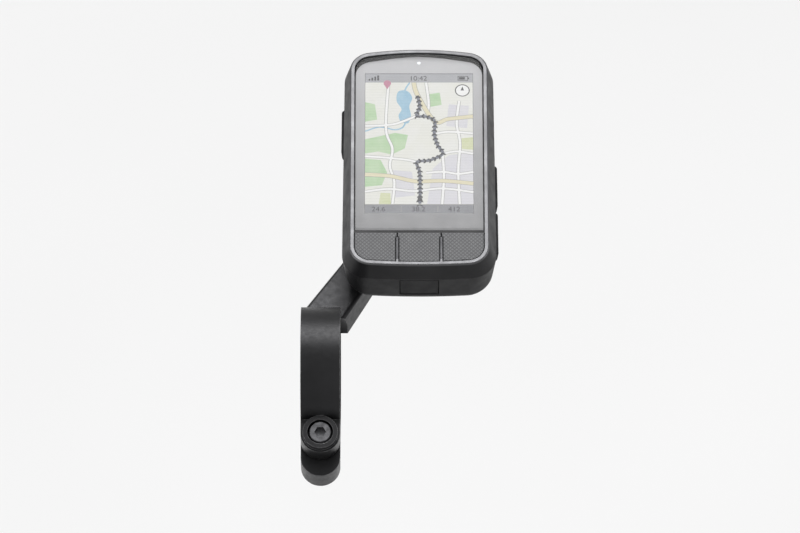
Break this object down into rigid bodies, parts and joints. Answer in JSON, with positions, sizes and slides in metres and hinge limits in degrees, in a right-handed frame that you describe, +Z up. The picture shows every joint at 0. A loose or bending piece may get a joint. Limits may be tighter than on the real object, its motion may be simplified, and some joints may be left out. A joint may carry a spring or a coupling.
{
  "type": "cycling computer",
  "caption": "Handlebar cycling computer with a map screen, front keys and side buttons, locked by a quarter turn into an out-front arm with a hinged bar clamp.",
  "frame": {"origin": "middle of the bore that grips the handlebar", "axes": "+X along the handlebar to the rider's right, +Y forward, +Z up"},
  "size_m": [0.0603, 0.1307, 0.063],
  "materials": {
    "case_black": "fine spark texture, black",
    "bezel_black": "satin black with a smoother rim",
    "key_dark": "soft dark grey with a fine grain",
    "button_rubber": "soft-touch black",
    "cover_glass": "anti-glare glass",
    "display": "lit colour panel",
    "light_guide": "clear acrylic",
    "adhesive_black": "black foam tape",
    "flex_amber": "amber film",
    "board_green": "solder mask",
    "chip_black": "moulded epoxy",
    "tin_plate": "tin-plated sheet",
    "screw_steel": "dark zinc finish",
    "antenna_ceramic": "fired ceramic",
    "battery_foil": "silver pouch foil",
    "foam_grey": "soft foam",
    "lead_red": "flat leads",
    "plug_white": "nylon plug",
    "frame_grey": "glass-filled nylon",
    "lug_plastic": "acetal",
    "ring_plastic": "glass-filled nylon",
    "mount_metal": "bead-blasted black anodised",
    "liner_rubber": "thin rubber strip"
  },
  "bodies": {
    "mount": {"mount_arm": "mount_metal", "upper_bar_liner": "liner_rubber", "hinge_pin": "screw_steel", "socket_ring": "ring_plastic", "ring_screws": "screw_steel"},
    "computer": {"front_bezel": "bezel_black", "cover_glass": "cover_glass", "lens_adhesive": "adhesive_black", "display_panel": "display", "display_backlight": "light_guide", "display_flex": "flex_amber", "light_pipe": "light_guide", "light_sensor": "chip_black", "key_membrane": "foam_grey", "front_switches": "tin_plate", "midframe": "frame_grey", "main_board": "board_green", "board_screws": "screw_steel", "shield_can": "tin_plate", "board_chips": "chip_black", "gnss_antenna": "antenna_ceramic", "pressure_sensor": "tin_plate", "buzzer": "chip_black", "vent_membrane": "plug_white", "battery_pack": "battery_foil", "battery_tape": "adhesive_black", "battery_foam": "foam_grey", "battery_leads": "lead_red", "battery_plug": "plug_white", "usb_socket": "tin_plate", "side_switches": "tin_plate", "rear_shell": "case_black", "case_screws": "screw_steel", "case_seal": "adhesive_black", "lug_plate": "lug_plastic", "lug_screws": "screw_steel"},
    "left_key": {"left_key": "key_dark"},
    "centre_key": {"centre_key": "key_dark"},
    "right_key": {"right_key": "key_dark"},
    "power_button": {"power_button": "button_rubber"},
    "up_button": {"up_button": "button_rubber"},
    "down_button": {"down_button": "button_rubber"},
    "usb_cover": {"usb_cover": "button_rubber"},
    "jaw": {"clamp_jaw": "mount_metal", "lower_bar_liner": "liner_rubber", "clamp_nut": "screw_steel"},
    "screw": {"clamp_screw": "screw_steel"}
  },
  "joints": [
    {"name": "computer_twist", "type": "hinge", "parent": "mount", "child": "computer", "pos_m": [0.03, 0.0591, 0.0162], "axis": [0, -0.1564, 0.9877], "range_deg": [0, 90]},
    {"name": "left_key_press", "type": "slide", "parent": "computer", "child": "left_key", "axis": [0, 0.1564, -0.9877], "range_m": [0, 0.0005], "stiffness_N_per_m": 800, "springref_m": -0.0003},
    {"name": "centre_key_press", "type": "slide", "parent": "computer", "child": "centre_key", "axis": [0, 0.1564, -0.9877], "range_m": [0, 0.0005], "stiffness_N_per_m": 800, "springref_m": -0.0003},
    {"name": "right_key_press", "type": "slide", "parent": "computer", "child": "right_key", "axis": [0, 0.1564, -0.9877], "range_m": [0, 0.0005], "stiffness_N_per_m": 800, "springref_m": -0.0003},
    {"name": "power_button_press", "type": "slide", "parent": "computer", "child": "power_button", "axis": [1, 0, 0], "range_m": [0, 0.0005], "stiffness_N_per_m": 800, "springref_m": -0.0003},
    {"name": "up_button_press", "type": "slide", "parent": "computer", "child": "up_button", "axis": [-1, 0, 0], "range_m": [0, 0.0005], "stiffness_N_per_m": 800, "springref_m": -0.0003},
    {"name": "down_button_press", "type": "slide", "parent": "computer", "child": "down_button", "axis": [-1, 0, 0], "range_m": [0, 0.0005], "stiffness_N_per_m": 800, "springref_m": -0.0003},
    {"name": "usb_cover_hinge", "type": "hinge", "parent": "computer", "child": "usb_cover", "pos_m": [0.03, 0.01907, 0.01507], "axis": [1, 0, 0], "range_deg": [0, 100]},
    {"name": "clamp_jaw_hinge", "type": "hinge", "parent": "mount", "child": "jaw", "pos_m": [0, 0.0208, -0.001], "axis": [1, 0, 0], "range_deg": [0, 75]},
    {"name": "clamp_screw_out", "type": "slide", "parent": "mount", "child": "screw", "axis": [0, -0.342, 0.9397], "range_m": [0, 0.032]}
  ],
  "couplings": [
    {"joint": "clamp_screw_out", "follows": "clamp_jaw_hinge", "m_per_rad": 0.024}
  ]
}
